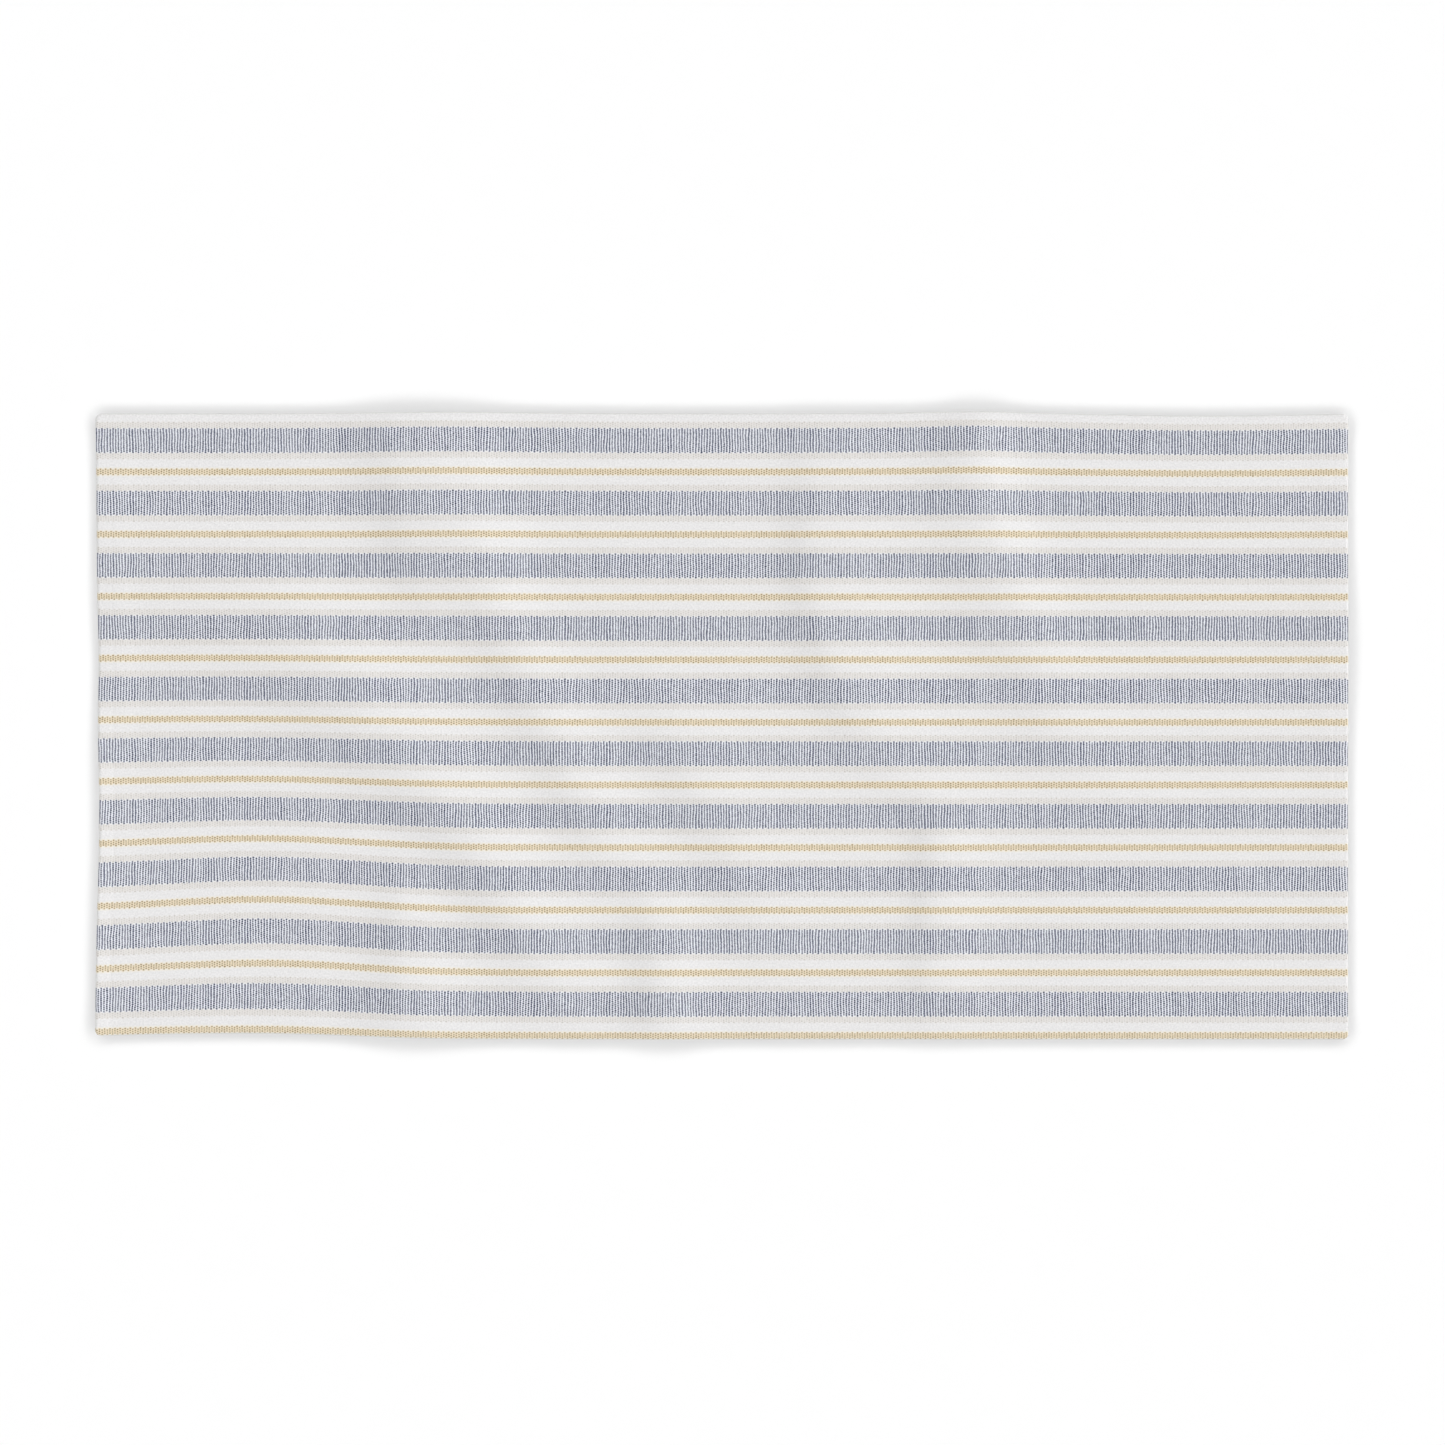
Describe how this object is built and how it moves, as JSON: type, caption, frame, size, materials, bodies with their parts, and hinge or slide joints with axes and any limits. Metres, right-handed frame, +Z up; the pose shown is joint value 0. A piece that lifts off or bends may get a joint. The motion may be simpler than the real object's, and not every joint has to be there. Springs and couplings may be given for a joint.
{
  "type": "golf towel",
  "caption": "Flat rectangular golf towel of printed velour with terry loops on the back, turned and stitched hems and a blank care label.",
  "frame": {"origin": "centre of the underside, where the towel rests on a surface", "axes": "+X along the length and the printed stripes, +Y across the width, +Z up out of the printed face"},
  "size_m": [1.016, 0.508, 0.0044],
  "materials": {
    "printed_velour": "matte sheared pile, sublimation printed with lengthwise dotted stripes in slate blue, warm grey and tan on white",
    "woven_ground": "matte plain weave, white",
    "terry_loops": "matte looped pile, unprinted white",
    "hem_cloth": "matte folded velour, print running round the edge",
    "sewing_thread": "spun polyester, slight sheen",
    "label_ribbon": "satin woven ribbon, blank"
  },
  "bodies": {
    "root": {"face_pile": "printed_velour", "ground_cloth": "woven_ground", "back_loops": "terry_loops", "left_end_hem": "hem_cloth", "right_end_hem": "hem_cloth", "near_side_hem": "hem_cloth", "far_side_hem": "hem_cloth", "left_end_needle_thread": "sewing_thread", "left_end_bobbin_thread": "sewing_thread", "right_end_needle_thread": "sewing_thread", "right_end_bobbin_thread": "sewing_thread", "near_side_needle_thread": "sewing_thread", "near_side_bobbin_thread": "sewing_thread", "far_side_needle_thread": "sewing_thread", "far_side_bobbin_thread": "sewing_thread", "closing_stitches": "sewing_thread", "care_label": "label_ribbon"}
  },
  "joints": []
}
